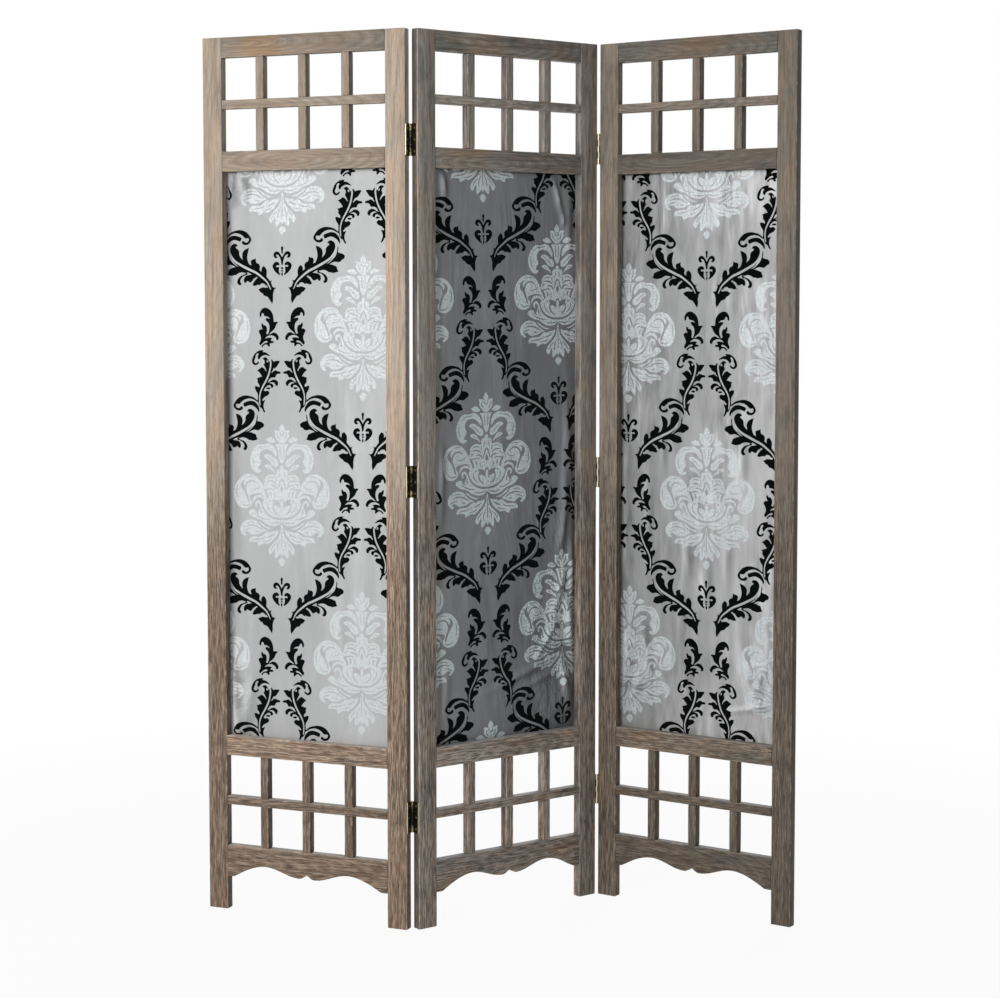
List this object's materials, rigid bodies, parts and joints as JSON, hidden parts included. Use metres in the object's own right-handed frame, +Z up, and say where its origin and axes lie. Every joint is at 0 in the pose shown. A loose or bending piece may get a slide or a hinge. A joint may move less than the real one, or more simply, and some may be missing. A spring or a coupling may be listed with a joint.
{
  "type": "folding screen",
  "caption": "Folding wooden screen of hinged panels, each with a lattice above and below stretched cloth and a shaped apron",
  "frame": {"origin": "on the floor, under the middle of the plan of the screen as it stands zigzagged", "axes": "+Z up, -Y towards the front of the screen, +X to the right seen from the front"},
  "size_m": [1.1376, 0.2736, 1.7],
  "materials": {
    "stile_wood": "weathered grey-brown stain, matt, worn pale at the edges",
    "rail_wood": "weathered grey-brown stain, matt, worn pale at the edges",
    "bar_wood": "weathered grey-brown stain, matt",
    "damask_cloth": "satin ground with black flocked leaves and silver glitter medallions",
    "hinge_metal": "dark antiqued brass, bright at the knuckle"
  },
  "bodies": {
    "left_panel": {"left_stile_left": "stile_wood", "left_stile_right": "stile_wood", "left_top_rail": "rail_wood", "left_upper_rail": "rail_wood", "left_lower_rail": "rail_wood", "left_bottom_rail": "rail_wood", "left_upper_crossbar": "bar_wood", "left_upper_bar_1": "bar_wood", "left_upper_bar_2": "bar_wood", "left_upper_bar_3": "bar_wood", "left_lower_crossbar": "bar_wood", "left_lower_bar_1": "bar_wood", "left_lower_bar_2": "bar_wood", "left_lower_bar_3": "bar_wood", "left_cloth": "damask_cloth", "left_hinge_lower_pin_leaf": "hinge_metal", "left_hinge_middle_pin_leaf": "hinge_metal", "left_hinge_upper_pin_leaf": "hinge_metal"},
    "middle_panel": {"middle_stile_left": "stile_wood", "middle_stile_right": "stile_wood", "middle_top_rail": "rail_wood", "middle_upper_rail": "rail_wood", "middle_lower_rail": "rail_wood", "middle_bottom_rail": "rail_wood", "middle_upper_crossbar": "bar_wood", "middle_upper_bar_1": "bar_wood", "middle_upper_bar_2": "bar_wood", "middle_upper_bar_3": "bar_wood", "middle_lower_crossbar": "bar_wood", "middle_lower_bar_1": "bar_wood", "middle_lower_bar_2": "bar_wood", "middle_lower_bar_3": "bar_wood", "middle_cloth": "damask_cloth", "left_hinge_lower_plain_leaf": "hinge_metal", "left_hinge_middle_plain_leaf": "hinge_metal", "left_hinge_upper_plain_leaf": "hinge_metal", "right_hinge_lower_plain_leaf": "hinge_metal", "right_hinge_middle_plain_leaf": "hinge_metal", "right_hinge_upper_plain_leaf": "hinge_metal"},
    "right_panel": {"right_stile_left": "stile_wood", "right_stile_right": "stile_wood", "right_top_rail": "rail_wood", "right_upper_rail": "rail_wood", "right_lower_rail": "rail_wood", "right_bottom_rail": "rail_wood", "right_upper_crossbar": "bar_wood", "right_upper_bar_1": "bar_wood", "right_upper_bar_2": "bar_wood", "right_upper_bar_3": "bar_wood", "right_lower_crossbar": "bar_wood", "right_lower_bar_1": "bar_wood", "right_lower_bar_2": "bar_wood", "right_lower_bar_3": "bar_wood", "right_cloth": "damask_cloth", "right_hinge_lower_pin_leaf": "hinge_metal", "right_hinge_middle_pin_leaf": "hinge_metal", "right_hinge_upper_pin_leaf": "hinge_metal"}
  },
  "joints": [
    {"name": "left_fold", "type": "hinge", "parent": "middle_panel", "child": "left_panel", "pos_m": [-0.16234, -0.11871, 0.85], "axis": [0, 0, -1], "range_deg": [-59, 121]},
    {"name": "right_fold", "type": "hinge", "parent": "middle_panel", "child": "right_panel", "pos_m": [0.19965, 0.12103, 0.85], "axis": [0, 0, -1], "range_deg": [-70.5, 109.5]}
  ]
}
